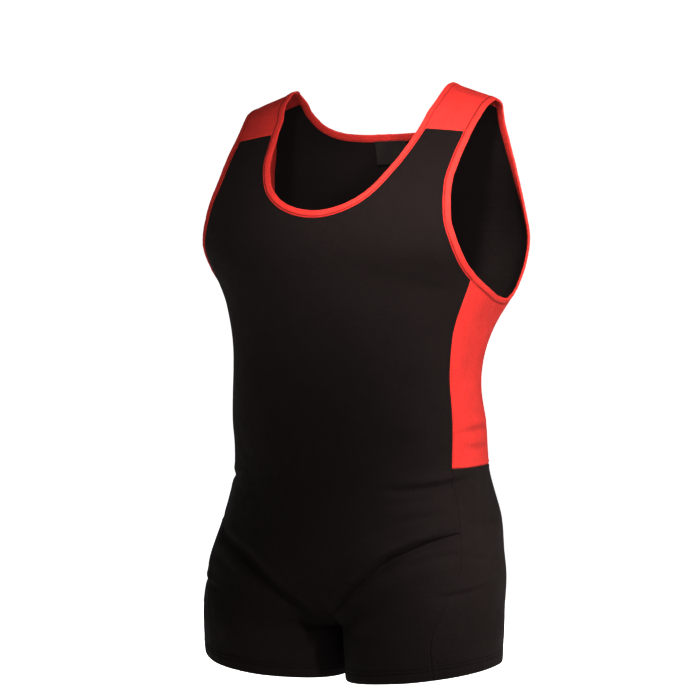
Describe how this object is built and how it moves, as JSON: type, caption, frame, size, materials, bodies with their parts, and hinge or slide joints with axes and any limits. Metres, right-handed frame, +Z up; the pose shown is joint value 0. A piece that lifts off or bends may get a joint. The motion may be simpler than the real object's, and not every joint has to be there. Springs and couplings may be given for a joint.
{
  "type": "powerlifting singlet",
  "caption": "Sleeveless one-piece lifting singlet, worn shape: black knit with short legs, scoop neck, red side and shoulder panels and red bound edges.",
  "frame": {"origin": "midway between the two shoulder straps at the shoulder line, where the wearer's shoulders hold the garment", "axes": "+Z up along the standing wearer, +X to the wearer's left, -Y the way the wearer faces"},
  "size_m": [0.396, 0.2688, 0.7359],
  "materials": {
    "black_knit": "smooth stretch knit, low sheen",
    "red_knit": "smooth stretch knit, low sheen",
    "red_binding": "folded knit binding, low sheen",
    "woven_label": "satin woven label with nothing on it"
  },
  "bodies": {
    "root": {"front_panel": "black_knit", "back_left": "black_knit", "back_right": "black_knit", "side_panel_left": "red_knit", "side_panel_right": "red_knit", "shoulder_panel_left": "red_knit", "shoulder_panel_right": "red_knit", "thigh_front_left": "black_knit", "thigh_front_right": "black_knit", "neck_binding": "red_binding", "armhole_binding_left": "red_binding", "armhole_binding_right": "red_binding", "neck_label": "woven_label"}
  },
  "joints": []
}
